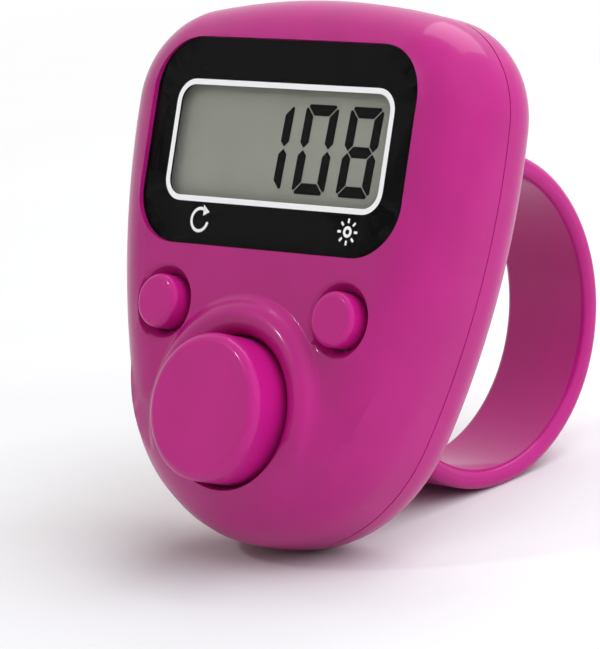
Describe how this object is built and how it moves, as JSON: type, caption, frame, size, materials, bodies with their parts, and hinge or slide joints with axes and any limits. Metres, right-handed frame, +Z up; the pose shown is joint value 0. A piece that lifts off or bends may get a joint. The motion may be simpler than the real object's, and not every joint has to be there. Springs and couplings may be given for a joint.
{
  "type": "finger-ring tally counter",
  "caption": "Finger-worn digital tally counter: pebble-shaped magenta head with a number display, a large count button, two small keys and a closed finger ring behind.",
  "frame": {"origin": "middle of the footprint of the whole counter, on the floor", "axes": "+Z up, the face looks towards -Y and leans back, +X to the right as seen from the front; the counter stands on its chin and its finger ring"},
  "size_m": [0.0296, 0.036, 0.0336],
  "materials": {
    "shell_plastic": "satin magenta moulding",
    "key_plastic": "satin magenta key",
    "screw_steel": "zinc plated",
    "lens_clear": "clear acrylic pane",
    "mask_print": "black print behind the pane",
    "polarizer_film": "grey film",
    "lcd_glass": "liquid crystal cell",
    "guide_clear": "clear acrylic block",
    "pad_white": "white foam",
    "led_resin": "clear resin",
    "elastomer": "layered silicone",
    "holder_plastic": "black moulding",
    "board_laminate": "green solder mask",
    "blob_resin": "black resin",
    "chip_ceramic": "ceramic chips",
    "switch_plastic": "black switch case",
    "plunger_plastic": "natural nylon",
    "cell_steel": "bright can",
    "contact_metal": "spring strip"
  },
  "bodies": {
    "case": {"front_shell": "shell_plastic", "rear_cover": "shell_plastic", "battery_door": "shell_plastic", "finger_ring": "shell_plastic", "cover_screws": "screw_steel", "battery_door_screw": "screw_steel", "ring_screws": "screw_steel", "display_lens": "lens_clear", "display_mask": "mask_print", "front_polarizer": "polarizer_film", "rear_polarizer": "polarizer_film", "lcd_glass": "lcd_glass", "backlight_guide": "guide_clear", "reflector_pad": "pad_white", "backlight_leds": "led_resin", "elastomer_strip": "elastomer", "display_holder": "holder_plastic", "circuit_board": "board_laminate", "controller_blob": "blob_resin", "chip_resistors": "chip_ceramic", "chip_capacitors": "chip_ceramic", "count_switch": "switch_plastic", "reset_switch": "switch_plastic", "light_switch": "switch_plastic", "coin_cell": "cell_steel", "negative_contact": "contact_metal", "positive_contact": "contact_metal", "cell_cradle": "holder_plastic"},
    "count_key": {"count_button": "key_plastic", "count_plunger": "plunger_plastic"},
    "reset_key": {"reset_button": "key_plastic", "reset_plunger": "plunger_plastic"},
    "light_key": {"light_button": "key_plastic", "light_plunger": "plunger_plastic"}
  },
  "joints": [
    {"name": "count_press", "type": "slide", "parent": "case", "child": "count_key", "axis": [0, 0.9295, -0.3688], "range_m": [0, 0.0006], "stiffness_N_per_m": 1500},
    {"name": "reset_press", "type": "slide", "parent": "case", "child": "reset_key", "axis": [0, 0.9295, -0.3688], "range_m": [0, 0.0004], "stiffness_N_per_m": 1500},
    {"name": "light_press", "type": "slide", "parent": "case", "child": "light_key", "axis": [0, 0.9295, -0.3688], "range_m": [0, 0.0004], "stiffness_N_per_m": 1500}
  ]
}
